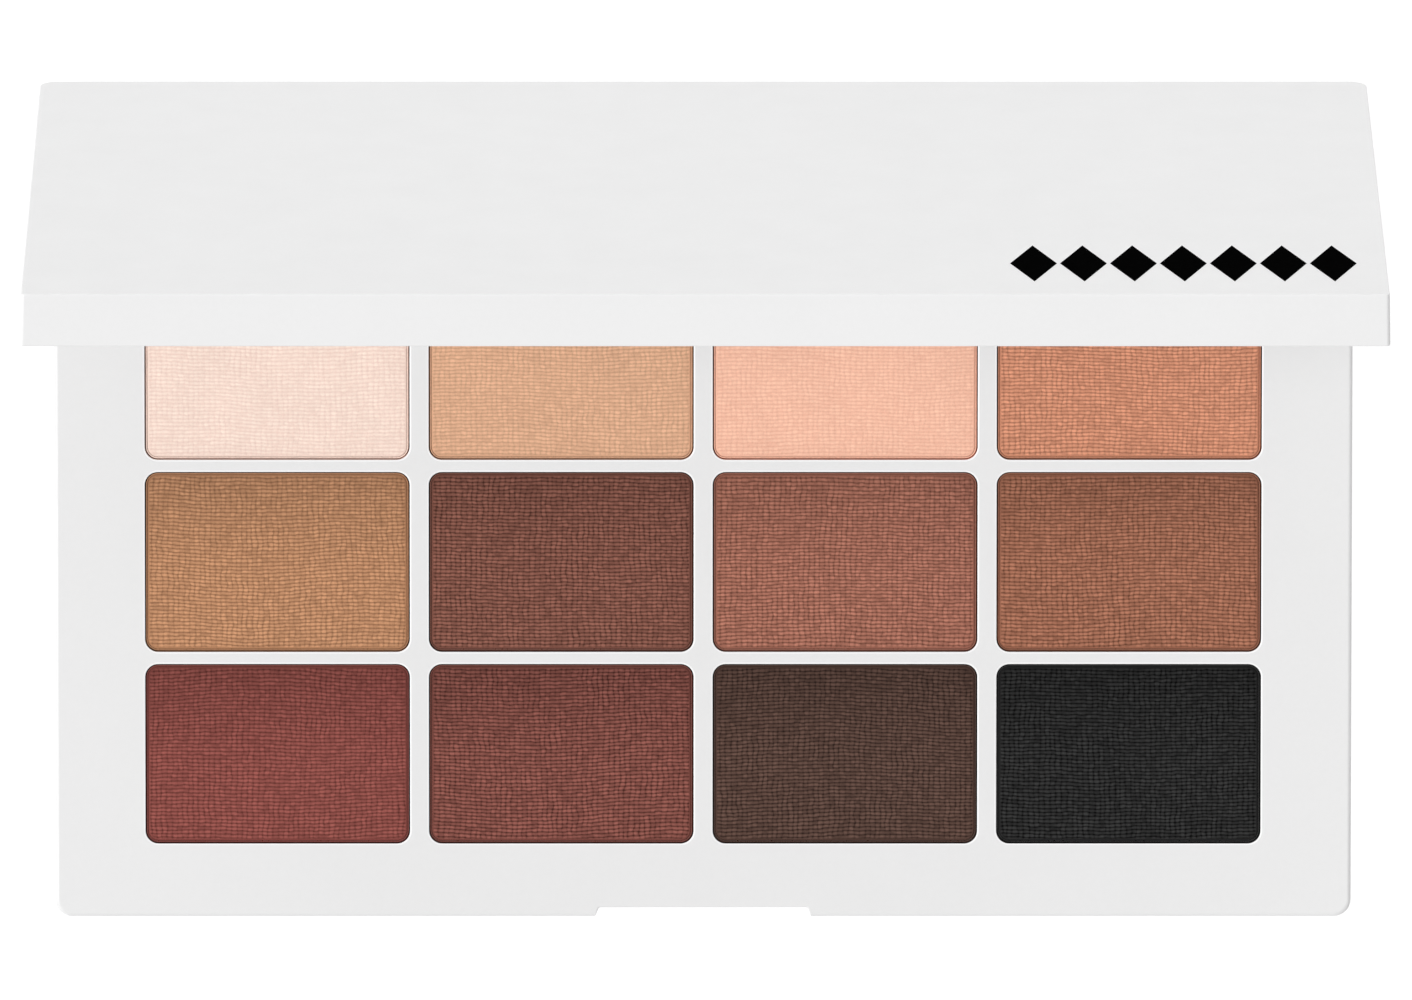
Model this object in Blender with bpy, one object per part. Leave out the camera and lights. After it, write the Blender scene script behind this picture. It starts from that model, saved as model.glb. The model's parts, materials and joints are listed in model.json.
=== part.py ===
"""Twelve-well eyeshadow palette with a telescoping, mirrored, hinged lid.

Frame: +Z up, origin on the underside of the bottom plate at the centre of the base, +X to the
user's right, +Y to the back (the hinge side). The lid stands open at LID_REST_DEG.
Metres throughout.
"""

import math

import bmesh
import bpy
from mathutils import Vector

MM = 0.001

# ---------------------------------------------------------------- driving dimensions
BASE_W = 150.0 * MM          # base, left to right, at the foot of its walls
BASE_D = 92.0 * MM           # base, front to back
BASE_TOP = 8.0 * MM          # height of the base's top face
BASE_FOOT = 0.6 * MM         # the walls stop this far above the table
BASE_CORNER = 2.1 * MM
BASE_EDGE = 0.9 * MM         # rounding of the top edge
BASE_DRAFT = 0.15 * MM       # each wall leans in by this much, foot to top
BASE_WALL = 1.6 * MM
DECK = 1.4 * MM              # thickness of the top deck

WELL_W = 30.55 * MM          # window of one well
WELL_D = 20.92 * MM
WELL_R = 1.5 * MM
PITCH_X = 32.75 * MM
PITCH_Y = 22.35 * MM
ROW2_Y = -4.5 * MM           # centre of the middle row
WELL_FLOOR = 4.2 * MM
WELL_BLOCK_UNDER = 3.3 * MM
WELL_SKIN = 0.9 * MM         # wall round the block of wells

PAN_GAP = 0.2 * MM           # between a pan and its window
PAN_WALL = 0.25 * MM
PAN_BOTTOM = 4.75 * MM
PAN_RIM = 7.75 * MM
CAKE_GAP = 0.05 * MM
CAKE_EDGE = 7.60 * MM
GLUE_R = 3.0 * MM

NOTCH_INNER = 23.7 * MM      # thumb notch in the front wall
NOTCH_OUTER = 25.4 * MM
NOTCH_DEPTH = 0.92 * MM

PLATE_T = 1.2 * MM           # bottom plate
PLATE_GAP = 0.2 * MM

LID_GAP = 0.2 * MM           # lid wall to base wall
LID_WALL = 1.2 * MM
LID_H = 6.0 * MM             # lid, rim to outer face
LID_TOP = 12.0 * MM          # outer face when closed
LID_SKIN = 1.6 * MM
LID_CORNER = 2.0 * MM
LID_FRONT_CORNER = 0.5 * MM
LID_EDGE = 0.3 * MM
LID_DRAFT = 0.1 * MM
LID_BACK_CUT = (9.1 * MM, 10.1 * MM)   # the back wall stops here, inside and outside: it has to clear the base
LID_REST_DEG = 82.0

AXIS_Y = 44.5 * MM           # hinge axis, along X
AXIS_Z = 6.0 * MM
PIN_R = 0.75 * MM
PIN_BORE_R = 0.84 * MM
PIN_X0, PIN_X1 = 55.6 * MM, 74.4 * MM
LUG_X0, LUG_X1 = 60.0 * MM, 70.0 * MM
LUG_R = 1.4 * MM
LUG_SIDE_GAP = 0.2 * MM

FRAME_FACE = 8.4 * MM        # mirror frame's visible face, lid closed
FRAME_BACK = 10.3 * MM
FRAME_X = 74.8 * MM
FRAME_Y = (-45.8 * MM, 41.5 * MM)
GLASS_X = 69.8 * MM
GLASS_Y = (-38.0 * MM, 37.4 * MM)

MAGNET_R = 2.5 * MM
MAGNET_X = 45.0 * MM
MAGNET_Y = -41.5 * MM

SEG = 4                      # segments in a quarter-round corner

# ---------------------------------------------------------------- clean start
for old in list(bpy.data.objects):
    bpy.data.objects.remove(old, do_unlink=True)


# ---------------------------------------------------------------- materials
def finish(name, colour, roughness, metallic=0.0):
    made = bpy.data.materials.new(name)
    made.use_nodes = True
    shader = made.node_tree.nodes["Principled BSDF"]
    shader.inputs["Base Color"].default_value = (*colour, 1.0)
    shader.inputs["Roughness"].default_value = roughness
    shader.inputs["Metallic"].default_value = metallic
    return made


CASE_WHITE = (0.83, 0.83, 0.83)
SHADES = {  # linear colours, row by row from the hinge, left to right
    "r1c1": (0.90, 0.66, 0.56), "r1c2": (0.65, 0.36, 0.22),
    "r1c3": (0.87, 0.47, 0.33), "r1c4": (0.53, 0.22, 0.13),
    "r2c1": (0.41, 0.20, 0.105), "r2c2": (0.175, 0.070, 0.052),
    "r2c3": (0.29, 0.115, 0.080), "r2c4": (0.28, 0.115, 0.070),
    "r3c1": (0.21, 0.060, 0.050), "r3c2": (0.178, 0.062, 0.050),
    "r3c3": (0.078, 0.044, 0.035), "r3c4": (0.018, 0.018, 0.018),
}


# ---------------------------------------------------------------- shape helpers
def rounded_outline(w, d, r, cx=0.0, cy=0.0, seg=SEG, front=None):
    """Corner points of a rounded rectangle, anticlockwise from the right side. The two front corners may be tighter."""
    points = []
    for sx, sy, start in ((1, 1, 0), (-1, 1, 90), (-1, -1, 180), (1, -1, 270)):
        q = front if front and sy < 0 else r
        ox, oy = cx + sx * (w / 2 - q), cy + sy * (d / 2 - q)
        for i in range(seg + 1):
            a = math.radians(start + 90 * i / seg)
            points.append((ox + q * math.cos(a), oy + q * math.sin(a)))
    return points


def add_slab(bm, outline, z0, z1, top_round=0.0, foot_round=0.0, shrink=0.0, steps=3):
    """Extrudes an outline from z0 to z1. The top may be drawn in by shrink, and the top or foot edge rounded."""
    foot = bm.faces.new([bm.verts.new((x, y, z0)) for x, y in outline])
    foot.normal_update()
    if foot.normal.z > 0:
        foot.normal_flip()
    grown = bmesh.ops.extrude_face_region(bm, geom=[foot], use_keep_orig=True)["geom"]
    top_verts = [g for g in grown if isinstance(g, bmesh.types.BMVert)]
    top_face = next(g for g in grown if isinstance(g, bmesh.types.BMFace))
    xs = [p[0] for p in outline]
    ys = [p[1] for p in outline]
    cx, cy = (max(xs) + min(xs)) / 2, (max(ys) + min(ys)) / 2
    hx, hy = (max(xs) - min(xs)) / 2, (max(ys) - min(ys)) / 2
    for v in top_verts:
        v.co.z = z1
        v.co.x = cx + (v.co.x - cx) * (hx - shrink) / hx
        v.co.y = cy + (v.co.y - cy) * (hy - shrink) / hy
    foot_edges = list(foot.edges)
    if top_round:
        bmesh.ops.bevel(bm, geom=list(top_face.edges), offset=top_round, segments=steps,
                        profile=0.5, affect="EDGES")
    if foot_round:
        bmesh.ops.bevel(bm, geom=[e for e in foot_edges if e.is_valid], offset=foot_round,
                        segments=1, profile=0.5, affect="EDGES")


def add_stack(bm, rings):
    """Skins a pile of outlines, each (points, z) with the same number of points, and caps both ends."""
    loops = [[bm.verts.new((x, y, z)) for x, y in points] for points, z in rings]
    for lower, upper in zip(loops, loops[1:]):
        for i in range(len(lower)):
            j = (i + 1) % len(lower)
            bm.faces.new((lower[i], lower[j], upper[j], upper[i]))
    bm.faces.new(list(reversed(loops[0])))
    bm.faces.new(loops[-1])


def box_outline(x0, x1, y0, y1):
    return [(x1, y0), (x1, y1), (x0, y1), (x0, y0)]


def add_bar(bm, profile, x0, x1):
    """Extrudes a profile of (y, z) points along X."""
    face = bm.faces.new([bm.verts.new((x0, y, z)) for y, z in profile])
    grown = bmesh.ops.extrude_face_region(bm, geom=[face], use_keep_orig=True)["geom"]
    bmesh.ops.translate(bm, verts=[g for g in grown if isinstance(g, bmesh.types.BMVert)],
                        vec=(x1 - x0, 0, 0))


def add_rod(bm, centre, radius, length, axis="Z", seg=16):
    """A closed cylinder centred on a point, along X or Z."""
    made = bmesh.ops.create_cone(bm, cap_ends=True, segments=seg, radius1=radius,
                                 radius2=radius, depth=length)["verts"]
    if axis == "X":
        for v in made:
            v.co = Vector((v.co.z, v.co.x, v.co.y))
    for v in made:
        v.co += Vector(centre)


def new_object(name, bm, material=None, parent=None, origin=(0.0, 0.0, 0.0)):
    """Makes an object with its origin at a given point of the base frame, or of its parent's own frame."""
    bmesh.ops.recalc_face_normals(bm, faces=bm.faces)
    bmesh.ops.translate(bm, verts=bm.verts, vec=-Vector(origin))
    mesh = bpy.data.meshes.new(name)
    bm.to_mesh(mesh)
    bm.free()
    obj = bpy.data.objects.new(name, mesh)
    bpy.context.scene.collection.objects.link(obj)
    if material:
        mesh.materials.append(material)
    obj.location = origin
    if parent:
        obj.parent = parent
        obj.location = Vector(origin) - Vector((0.0, AXIS_Y, AXIS_Z))
    mesh.shade_smooth()
    mesh.set_sharp_from_angle(angle=math.radians(30))
    return obj


def tool(name, bm, parent=None):
    """A cutter or a joining shape: it isn't part of the model."""
    obj = new_object(name, bm, parent=parent)
    obj.hide_render = True
    obj.display_type = "WIRE"
    return obj


def boolean(target, other, operation):
    mod = target.modifiers.new(f"{operation.lower()}_{other.name}", "BOOLEAN")
    mod.operation = operation
    mod.solver = "EXACT"
    mod.object = other


def wells():
    """(name, centre x, centre y) of the twelve wells; row 1 is next to the hinge."""
    for row in range(3):
        for col in range(4):
            yield f"r{row + 1}c{col + 1}", (col - 1.5) * PITCH_X, ROW2_Y + (1 - row) * PITCH_Y


case_plastic = finish("case_plastic", CASE_WHITE, 0.38)
deck_plastic = finish("base_plastic", CASE_WHITE, 0.42)
tin = finish("pan_tin", (0.72, 0.71, 0.69), 0.32, 1.0)
steel = finish("pin_steel", (0.62, 0.62, 0.63), 0.25, 1.0)
nickel = finish("magnet_nickel", (0.70, 0.68, 0.64), 0.22, 1.0)
silver = finish("mirror_silver", (0.92, 0.93, 0.93), 0.02, 1.0)
glue = finish("hot_glue", (0.80, 0.76, 0.62), 0.45)
foam = finish("foam_tape", (0.86, 0.86, 0.84), 0.85)
paper = finish("label_paper", (0.88, 0.88, 0.87), 0.65)

# ---------------------------------------------------------------- base housing
bm = bmesh.new()
add_slab(bm, rounded_outline(BASE_W, BASE_D, BASE_CORNER), BASE_FOOT, BASE_TOP,
         top_round=BASE_EDGE, shrink=BASE_DRAFT)
base_housing = new_object("base_housing", bm, deck_plastic)

bm = bmesh.new()   # hollow underside
add_slab(bm, rounded_outline(BASE_W - 2 * BASE_WALL, BASE_D - 2 * BASE_WALL, 0.8 * MM, seg=2),
         -1 * MM, BASE_TOP - DECK)
boolean(base_housing, tool("cut_underside", bm), "DIFFERENCE")

block_x = 1.5 * PITCH_X + WELL_W / 2 + WELL_SKIN
block_y0 = ROW2_Y - PITCH_Y - WELL_D / 2 - WELL_SKIN
block_y1 = ROW2_Y + PITCH_Y + WELL_D / 2 + WELL_SKIN
bm = bmesh.new()   # block that the wells are sunk into
add_slab(bm, box_outline(-block_x, block_x, block_y0, block_y1), WELL_BLOCK_UNDER,
         BASE_TOP - DECK + 0.2 * MM)
boolean(base_housing, tool("join_well_block", bm), "UNION")

bm = bmesh.new()   # bosses: two for the magnets, four for the hinge pins
for side in (-1, 1):
    add_rod(bm, (side * MAGNET_X, MAGNET_Y, 5.5 * MM), 3.4 * MM, 2.6 * MM, seg=16)
    for xa, xb in ((LUG_X1 + LUG_SIDE_GAP, 74.3 * MM), (54.4 * MM, LUG_X0 - LUG_SIDE_GAP)):
        x0, x1 = sorted((side * xa, side * xb))
        add_slab(bm, box_outline(x0, x1, 42.5 * MM, 45.0 * MM), 3.8 * MM, 6.8 * MM)
boolean(base_housing, tool("join_bosses", bm), "UNION")

bm = bmesh.new()   # the twelve wells
for _, x, y in wells():
    add_slab(bm, rounded_outline(WELL_W, WELL_D, WELL_R, x, y), WELL_FLOOR, BASE_TOP + 1 * MM)
boolean(base_housing, tool("cut_wells", bm), "DIFFERENCE")

bm = bmesh.new()   # magnet seats from below, hinge slots at the back edge, thumb notch at the front
for side in (-1, 1):
    add_rod(bm, (side * MAGNET_X, MAGNET_Y, 5.0 * MM), MAGNET_R + 0.12 * MM, 4.0 * MM, seg=16)
    x0, x1 = sorted((side * (LUG_X0 - LUG_SIDE_GAP), side * (LUG_X1 + LUG_SIDE_GAP)))
    add_slab(bm, box_outline(x0, x1, 42.8 * MM, 50 * MM), 3.0 * MM, 10 * MM)
front = -BASE_D / 2
round_in = 0.35 * MM
notch = [
    (NOTCH_OUTER / 2 + 1.0 * MM, front - 2 * MM),
    (NOTCH_OUTER / 2 + 0.35 * MM, front),
    (NOTCH_OUTER / 2 - 0.15 * MM, front + 0.16 * MM),
    (NOTCH_INNER / 2 + round_in, front + NOTCH_DEPTH - round_in),
    (NOTCH_INNER / 2, front + NOTCH_DEPTH),
]
notch += [(-x, y) for x, y in reversed(notch)]
add_slab(bm, notch, -2 * MM, 12 * MM)
boolean(base_housing, tool("cut_slots_and_notch", bm), "DIFFERENCE")

bm = bmesh.new()   # bores for the hinge pins, open at the side walls
for side in (-1, 1):
    x0, x1 = 55.0 * MM, 78.0 * MM
    add_rod(bm, (side * (x0 + x1) / 2, AXIS_Y, AXIS_Z), PIN_BORE_R, x1 - x0, axis="X")
boolean(base_housing, tool("cut_pin_bores", bm), "DIFFERENCE")

# ---------------------------------------------------------------- bottom plate and its label
inset = BASE_WALL + PLATE_GAP
bm = bmesh.new()
add_slab(bm, rounded_outline(BASE_W - 2 * inset, BASE_D - 2 * inset, 0.7 * MM, seg=2), 0.0, PLATE_T)
base_bottom_plate = new_object("base_bottom_plate", bm, case_plastic)
bm = bmesh.new()   # posts that hold the wells up
for px in (-PITCH_X, 0.0, PITCH_X):
    for py in (ROW2_Y + PITCH_Y / 2, ROW2_Y - PITCH_Y / 2):
        add_rod(bm, (px, py, 1.9 * MM), 2.0 * MM, 2.2 * MM, seg=10)
boolean(base_bottom_plate, tool("join_posts", bm), "UNION")
bm = bmesh.new()   # recess for the label
add_slab(bm, box_outline(-50 * MM, 50 * MM, 8 * MM, 38 * MM), -1 * MM, 0.25 * MM)
boolean(base_bottom_plate, tool("cut_label_recess", bm), "DIFFERENCE")

bm = bmesh.new()
add_slab(bm, rounded_outline(99.6 * MM, 29.6 * MM, 1.0 * MM, 0.0, 23 * MM, seg=2), 0.08 * MM, 0.2 * MM)
new_object("base_label", bm, paper)

# ---------------------------------------------------------------- pans, pressed cakes and glue dots
pan_w, pan_d = WELL_W - 2 * PAN_GAP, WELL_D - 2 * PAN_GAP
cake_w, cake_d = pan_w - 2 * (PAN_WALL + CAKE_GAP), pan_d - 2 * (PAN_WALL + CAKE_GAP)
for name, x, y in wells():
    bm = bmesh.new()
    add_slab(bm, rounded_outline(pan_w, pan_d, WELL_R - PAN_GAP), 0.0, PAN_RIM - PAN_BOTTOM,
             foot_round=0.35 * MM)
    bm.faces.ensure_lookup_table()
    rim = max(bm.faces, key=lambda f: f.calc_center_median().z)
    bmesh.ops.inset_region(bm, faces=[rim], thickness=PAN_WALL, use_even_offset=True)
    well = bmesh.ops.extrude_face_region(bm, geom=[rim])["geom"]
    floor_verts = [g for g in well if isinstance(g, bmesh.types.BMVert)]
    bmesh.ops.translate(bm, verts=floor_verts, vec=(0, 0, -(PAN_RIM - PAN_BOTTOM - 0.25 * MM)))
    if rim.is_valid:
        bm.faces.remove(rim)
    pan = new_object(f"pan_{name}", bm, tin)
    pan.location = (x, y, PAN_BOTTOM)

    bm = bmesh.new()
    cake_floor = PAN_BOTTOM + 0.25 * MM + CAKE_GAP
    cake_r = WELL_R - PAN_GAP - PAN_WALL - CAKE_GAP
    rings = []   # straight side, then a low crown
    for inward, z in ((0.0, 0.0), (0.0, CAKE_EDGE), (0.5 * MM, CAKE_EDGE + 0.09 * MM),
                      (4.0 * MM, CAKE_EDGE + 0.18 * MM)):
        outline = rounded_outline(cake_w - 2 * inward, cake_d - 2 * inward, cake_r - 0.1 * inward)
        rings.append((outline, z - cake_floor if z else 0.0))
    add_stack(bm, rings)
    cake = new_object(f"powder_{name}", bm, finish(f"powder_{name}", SHADES[name], 0.9))
    cake.location = (x, y, cake_floor)

    bm = bmesh.new()
    add_rod(bm, (0, 0, 0), GLUE_R, 0.35 * MM, seg=10)
    dot = new_object(f"glue_{name}", bm, glue)
    dot.location = (x, y, WELL_FLOOR + 0.1 * MM + 0.175 * MM)

# ---------------------------------------------------------------- hinge pins and base magnets
for side, word in ((-1, "left"), (1, "right")):
    bm = bmesh.new()
    add_rod(bm, (0, 0, 0), PIN_R, PIN_X1 - PIN_X0, axis="X")
    pin = new_object(f"hinge_pin_{word}", bm, steel)
    pin.location = (side * (PIN_X0 + PIN_X1) / 2, AXIS_Y, AXIS_Z)

    bm = bmesh.new()
    add_rod(bm, (0, 0, 0), MAGNET_R, 2.0 * MM)
    magnet = new_object(f"base_magnet_{word}", bm, nickel)
    magnet.location = (side * MAGNET_X, MAGNET_Y, 5.9 * MM)

# ---------------------------------------------------------------- lid, modelled closed on its pivot
lid_pivot = bpy.data.objects.new("lid_pivot", None)
bpy.context.scene.collection.objects.link(lid_pivot)
lid_pivot.location = (0.0, AXIS_Y, AXIS_Z)
lid_pivot.rotation_euler = (-math.radians(LID_REST_DEG), 0.0, 0.0)

rim_z = LID_TOP - LID_H
lid_w = BASE_W + 2 * (LID_GAP + LID_WALL + LID_DRAFT)      # at the rim
lid_d = BASE_D + 2 * (LID_GAP + LID_WALL + LID_DRAFT)
bm = bmesh.new()
add_slab(bm, rounded_outline(lid_w, lid_d, LID_CORNER, front=LID_FRONT_CORNER), rim_z, LID_TOP, top_round=LID_EDGE,
         shrink=LID_DRAFT)
lid_shell = new_object("lid_shell", bm, case_plastic, parent=lid_pivot)

bm = bmesh.new()   # inside of the lid
add_slab(bm, rounded_outline(lid_w - 2 * LID_WALL, lid_d - 2 * LID_WALL, 0.8 * MM, seg=2),
         rim_z - 1 * MM, LID_TOP - LID_SKIN, shrink=LID_DRAFT)
boolean(lid_shell, tool("cut_lid_inside", bm, lid_pivot), "DIFFERENCE")

bm = bmesh.new()   # relief along the back wall, sloping up towards the outside
wall_in, wall_out = lid_d / 2 - LID_WALL, lid_d / 2
slope = (LID_BACK_CUT[1] - LID_BACK_CUT[0]) / (wall_out - wall_in)
relief = [(45.8 * MM, rim_z - 2 * MM), (52 * MM, rim_z - 2 * MM)]
relief += [(y, LID_BACK_CUT[0] + (y - wall_in) * slope) for y in (wall_out + 0.5 * MM, 45.8 * MM)]
relief.insert(2, (52 * MM, relief[2][1]))
add_bar(bm, relief, -75.6 * MM, 75.6 * MM)
boolean(lid_shell, tool("cut_lid_back", bm, lid_pivot), "DIFFERENCE")

bm = bmesh.new()   # hinge lugs: a block from the ceiling down to a round barrel
for side in (-1, 1):
    x0, x1 = sorted((side * LUG_X0, side * LUG_X1))
    arc = [(AXIS_Y + LUG_R * math.cos(a), AXIS_Z + LUG_R * math.sin(a))
           for a in (math.radians(180 + 180 * i / 8) for i in range(9))]
    profile = arc + [(AXIS_Y + LUG_R, 9.1 * MM), (46.5 * MM, 9.1 * MM), (46.5 * MM, 10.7 * MM),
                     (AXIS_Y - LUG_R, 10.7 * MM)]
    add_bar(bm, profile, x0, x1)
boolean(lid_shell, tool("join_lugs", bm, lid_pivot), "UNION")

bm = bmesh.new()   # bores through the lugs
for side in (-1, 1):
    add_rod(bm, (side * (LUG_X0 + LUG_X1) / 2, AXIS_Y, AXIS_Z), PIN_BORE_R, 14 * MM, axis="X")
boolean(lid_shell, tool("cut_lug_bores", bm, lid_pivot), "DIFFERENCE")

frame_cy = (FRAME_Y[0] + FRAME_Y[1]) / 2
bm = bmesh.new()
add_slab(bm, rounded_outline(2 * FRAME_X, FRAME_Y[1] - FRAME_Y[0], 0.8 * MM, 0.0, frame_cy, seg=2),
         FRAME_FACE, FRAME_BACK)
mirror_frame = new_object("mirror_frame", bm, case_plastic, parent=lid_pivot)
glass_cy = (GLASS_Y[0] + GLASS_Y[1]) / 2
glass_d = GLASS_Y[1] - GLASS_Y[0]
bm = bmesh.new()
add_slab(bm, rounded_outline(2 * GLASS_X + 0.4 * MM, glass_d + 0.4 * MM, 1.0 * MM, 0.0, glass_cy, seg=3),
         FRAME_FACE - 1 * MM, FRAME_BACK + 1 * MM)
boolean(mirror_frame, tool("cut_mirror_window", bm, lid_pivot), "DIFFERENCE")
bm = bmesh.new()
for side in (-1, 1):
    add_rod(bm, (side * MAGNET_X, MAGNET_Y, 9.9 * MM), MAGNET_R + 0.12 * MM, 2.0 * MM)
boolean(mirror_frame, tool("cut_lid_magnet_seats", bm, lid_pivot), "DIFFERENCE")

bm = bmesh.new()
add_slab(bm, rounded_outline(2 * GLASS_X, glass_d, 0.8 * MM, 0.0, glass_cy, seg=3), 8.5 * MM, 9.7 * MM)
new_object("mirror_glass", bm, silver, parent=lid_pivot)

bm = bmesh.new()
add_slab(bm, rounded_outline(132 * MM, 67.4 * MM, 1.0 * MM, 0.0, glass_cy, seg=2), 9.8 * MM, 10.3 * MM)
new_object("mirror_adhesive", bm, foam, parent=lid_pivot)

for side, word in ((-1, "left"), (1, "right")):
    bm = bmesh.new()
    add_rod(bm, (side * MAGNET_X, MAGNET_Y, 9.6 * MM), MAGNET_R, 1.2 * MM)
    new_object(f"lid_magnet_{word}", bm, nickel, parent=lid_pivot)
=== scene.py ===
"""The looks of a twelve-well eyeshadow palette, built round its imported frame.

+Z up, metres. The lid is modelled closed and turned to its rest angle, which the frame's joint gives.
"""

import json
import math

import bmesh
import bpy
import numpy as np
from mathutils import Matrix, Vector

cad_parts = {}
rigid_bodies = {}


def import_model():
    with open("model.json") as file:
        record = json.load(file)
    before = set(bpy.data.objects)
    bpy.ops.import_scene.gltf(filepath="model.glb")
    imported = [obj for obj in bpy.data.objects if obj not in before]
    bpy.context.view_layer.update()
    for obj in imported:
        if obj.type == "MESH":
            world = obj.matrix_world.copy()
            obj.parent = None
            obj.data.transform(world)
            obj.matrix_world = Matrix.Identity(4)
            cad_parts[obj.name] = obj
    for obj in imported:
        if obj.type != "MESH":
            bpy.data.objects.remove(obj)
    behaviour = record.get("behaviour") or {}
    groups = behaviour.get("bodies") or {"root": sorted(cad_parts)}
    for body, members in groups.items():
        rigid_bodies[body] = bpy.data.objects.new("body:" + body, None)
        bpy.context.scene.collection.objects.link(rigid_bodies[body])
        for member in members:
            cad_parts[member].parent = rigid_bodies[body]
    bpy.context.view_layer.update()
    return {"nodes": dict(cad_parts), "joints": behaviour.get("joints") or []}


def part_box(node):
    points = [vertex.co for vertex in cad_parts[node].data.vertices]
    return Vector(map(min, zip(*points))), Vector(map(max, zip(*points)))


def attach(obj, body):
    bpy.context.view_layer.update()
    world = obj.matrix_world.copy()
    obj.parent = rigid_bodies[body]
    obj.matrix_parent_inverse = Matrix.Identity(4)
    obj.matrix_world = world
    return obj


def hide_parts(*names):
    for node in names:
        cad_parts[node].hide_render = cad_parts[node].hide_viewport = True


MM = 0.001

for leftover in list(bpy.data.objects):
    bpy.data.objects.remove(leftover, do_unlink=True)

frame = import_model()
nodes = frame["nodes"]
hinge = frame["joints"][0]
AXIS = Vector(hinge["pos_m"])
REST = math.radians(-hinge["range_deg"][0])          # from closed to the rest pose
OPENED = Matrix.Translation(AXIS) @ Matrix.Rotation(REST, 4, Vector(hinge["axis"])) @ Matrix.Translation(-AXIS)
CLOSED = OPENED.inverted()

WELLS = [f"r{r}c{c}" for r in (1, 2, 3) for c in (1, 2, 3, 4)]

# ------------------------------------------------------------------ sizes, in mm, as in the frame
BASE_W, BASE_D, BASE_TOP, BASE_FOOT = 150.0, 92.0, 8.0, 0.6
BASE_DRAFT, BASE_WALL, DECK = 0.15, 1.6, 1.4
BASE_CORNER = 2.1
WELL_W, WELL_D, WELL_R = 30.55, 20.92, 1.5
WELL_FLOOR, WELL_BLOCK_UNDER, WELL_SKIN = 4.2, 3.3, 0.9
PAN_GAP = 0.2
NOTCH_INNER, NOTCH_OUTER, NOTCH_DEPTH = 24.1, 25.1, 1.20
LID_WALL, LID_RIM, LID_TOP, LID_SKIN, LID_DRAFT = 1.2, 6.0, 12.0, 1.6, 0.1
LID_W, LID_D, LID_CORNER, LID_FRONT, LID_EDGE = 153.0, 95.0, 2.0, 0.45, 0.16
AXIS_Y, AXIS_Z = AXIS.y / MM, AXIS.z / MM
PIN_BORE = 0.84
LUG_X, LUG_R, LUG_GAP = (60.0, 70.0), 1.4, 0.2
FRAME_Z = (8.4, 10.3)
FRAME_BOX = (-74.8, 74.8, -45.8, 41.5)
GLASS_BOX = (-69.8, 69.8, -38.0, 37.4)
GLASS_Z = (8.5, 9.7)
MAGNET_X, MAGNET_Y, MAGNET_R = 45.0, -41.5, 2.5

# ------------------------------------------------------------------ mesh helpers


def outline(w, d, r, cx=0.0, cy=0.0, seg=10, front=None):
    """A rounded rectangle's points, anticlockwise, in mm. The two front corners may be tighter."""
    points = []
    for sx, sy, start in ((1, 1, 0), (-1, 1, 90), (-1, -1, 180), (1, -1, 270)):
        q = front if front and sy < 0 else r
        ox, oy = cx + sx * (w / 2 - q), cy + sy * (d / 2 - q)
        for i in range(seg + 1):
            a = math.radians(start + 90 * i / seg)
            points.append((ox + q * math.cos(a), oy + q * math.sin(a)))
    return points


def skin(bm, rings, closed=False):
    """Skins rings of equal length, each (points, z) in mm, outwards for anticlockwise points going up. Caps both ends, or joins the last ring to the first."""
    loops = [[bm.verts.new((x * MM, y * MM, z * MM)) for x, y in points] for points, z in rings]
    pairs = list(zip(loops, loops[1:]))
    if closed:
        pairs.append((loops[-1], loops[0]))
    for lower, upper in pairs:
        for i in range(len(lower)):
            j = (i + 1) % len(lower)
            bm.faces.new((lower[i], lower[j], upper[j], upper[i]))
    if not closed:
        bm.faces.new(list(reversed(loops[0])))
        bm.faces.new(loops[-1])


def quarter(r, n):
    """(inward, up) steps of a quarter round, from an upright wall to a flat top."""
    return [(r * (1 - math.cos(a)), r * math.sin(a)) for a in (math.pi / 2 * i / n for i in range(n + 1))]


def bar(bm, profile, x0, x1):
    """Extrudes (y, z) points along X, in mm."""
    near = [bm.verts.new((x0 * MM, y * MM, z * MM)) for y, z in profile]
    far = [bm.verts.new((x1 * MM, y * MM, z * MM)) for y, z in profile]
    n = len(profile)
    for i in range(n):
        j = (i + 1) % n
        bm.faces.new((near[i], near[j], far[j], far[i]))
    bm.faces.new(list(reversed(near)))
    bm.faces.new(far)


def rod(bm, centre, r, length, axis="Z", seg=40):
    made = bmesh.ops.create_cone(bm, cap_ends=True, segments=seg, radius1=r * MM, radius2=r * MM,
                                 depth=length * MM)["verts"]
    for v in made:
        if axis == "X":
            v.co = Vector((v.co.z, v.co.x, v.co.y))
        v.co += Vector(centre) * MM


def solid(name, bm, material=None, outward=True):
    if outward:
        bmesh.ops.recalc_face_normals(bm, faces=bm.faces)
    mesh = bpy.data.meshes.new(name)
    bm.to_mesh(mesh)
    bm.free()
    obj = bpy.data.objects.new(name, mesh)
    bpy.context.scene.collection.objects.link(obj)
    if material:
        mesh.materials.append(material)
    return obj


def combine(target, other, operation):
    """Adds or cuts another solid, and applies it."""
    mod = target.modifiers.new("cut", "BOOLEAN")
    mod.operation, mod.solver, mod.object = operation, "EXACT", other
    settle(target)
    bpy.data.objects.remove(other, do_unlink=True)


def settle(obj):
    """Turns what the modifiers make into the object's own mesh."""
    bpy.context.view_layer.update()
    seen = obj.evaluated_get(bpy.context.evaluated_depsgraph_get())
    made = bpy.data.meshes.new_from_object(seen)
    made.name = obj.name
    obj.modifiers.clear()
    obj.data = made


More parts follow.
